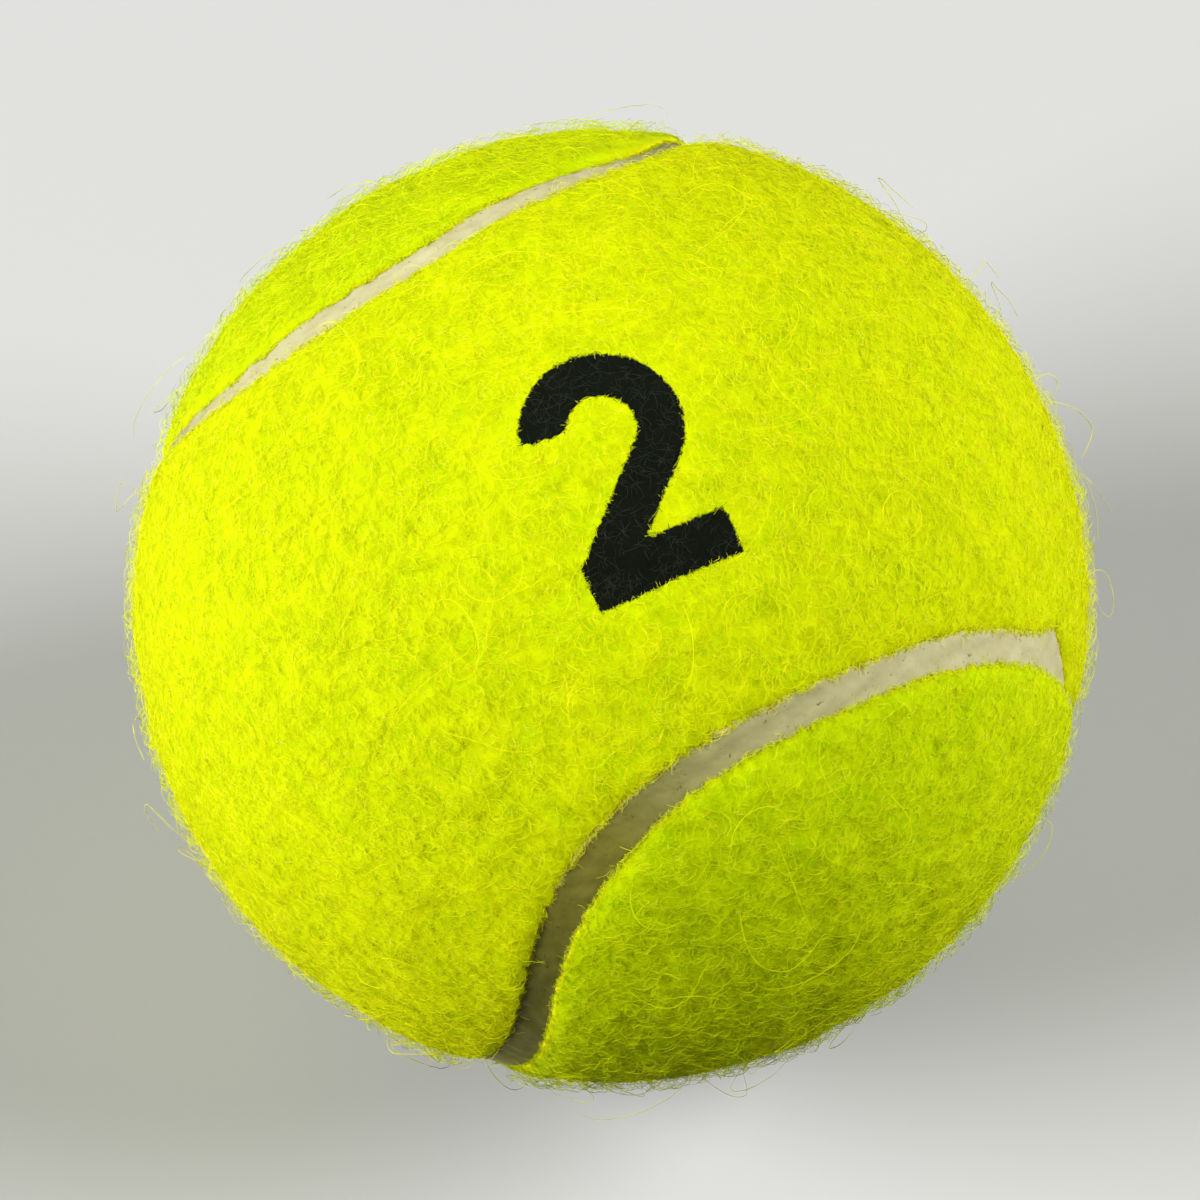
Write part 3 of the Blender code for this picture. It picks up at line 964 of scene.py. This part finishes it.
def add_floor():
    bpy.ops.mesh.primitive_plane_add(size=FLOOR_SIZE, location=(0, 0, FLOOR_HEIGHT - FLOOR_DROP))
    floor = bpy.context.object
    floor.name = "floor"
    material, tree, shader = new_material("pale floor")
    tree.links.new(add_seen_shade(tree, FLOOR_LIGHT, FLOOR_SEEN), shader.inputs["Base Color"])
    shader.inputs["Roughness"].default_value = 1
    shader.inputs["Specular IOR Level"].default_value = 0
    floor.data.materials.append(material)
    floor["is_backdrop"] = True


def add_light():
    world = bpy.data.worlds.new("studio")
    bpy.context.scene.world = world
    world.use_nodes = True
    background = world.node_tree.nodes["Background"]
    shade = add_seen_shade(world.node_tree, WORLD_LIGHT, WORLD_SEEN)
    world.node_tree.links.new(shade, background.inputs["Color"])
    background.inputs["Strength"].default_value = 1
    add_soft_lamp("key", KEY_TOWARDS, KEY_LEVEL, LAMP_WIDTH)
    add_soft_lamp("fill", FILL_TOWARDS, FILL_LEVEL, LAMP_WIDTH)


def main():
    bpy.context.scene.view_settings.view_transform = "Standard"
    ink = fibre_material("inked fibre", INK_COLOUR)
    worn = fibre_material("worn inked fibre", INK_WORN)
    # Panel b's felt and fibres are made greener all over, as painted shade
    for side, letter, red in ((1, "a", 1), (-1, "b", GREENER_FOR_SHADE)):
        tints = []
        for n, colour in enumerate(np.linspace(NAP_SHADE, NAP_LIGHT, NAP_PIECES)):
            tints.append(fibre_material(f"nap fibre {letter} {n + 1}", reddened(colour, red)))
        panel = add_felt_panel(side, felt_material(f"napped felt {letter}", red))
        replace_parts(panel, f"felt_panel_{letter}")
        glint = fibre_material(f"bright fibre {letter}", reddened(GLINT_TINT, red))
        cut = fibre_material(f"cut fibre {letter}", reddened(CUT_TINT, red))
        # Pale fibres with a painted highlight in their colour
        spark_highlight = fibre_material(f"pale fibre {letter}", reddened(SPARK_TINT_AND_HIGHLIGHT, red))
        nap = add_nap(side, tints, glint, spark_highlight, cut, ink, worn)
    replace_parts(add_seam(seam_material()), "seam_cement")
    dress_inside()
    add_floor()
    add_light()
    add_camera()


main()
boxes = {"cad": CAD_BOX, "visual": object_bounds()}
{name: [list(corner) for corner in box] for name, box in boxes.items()}
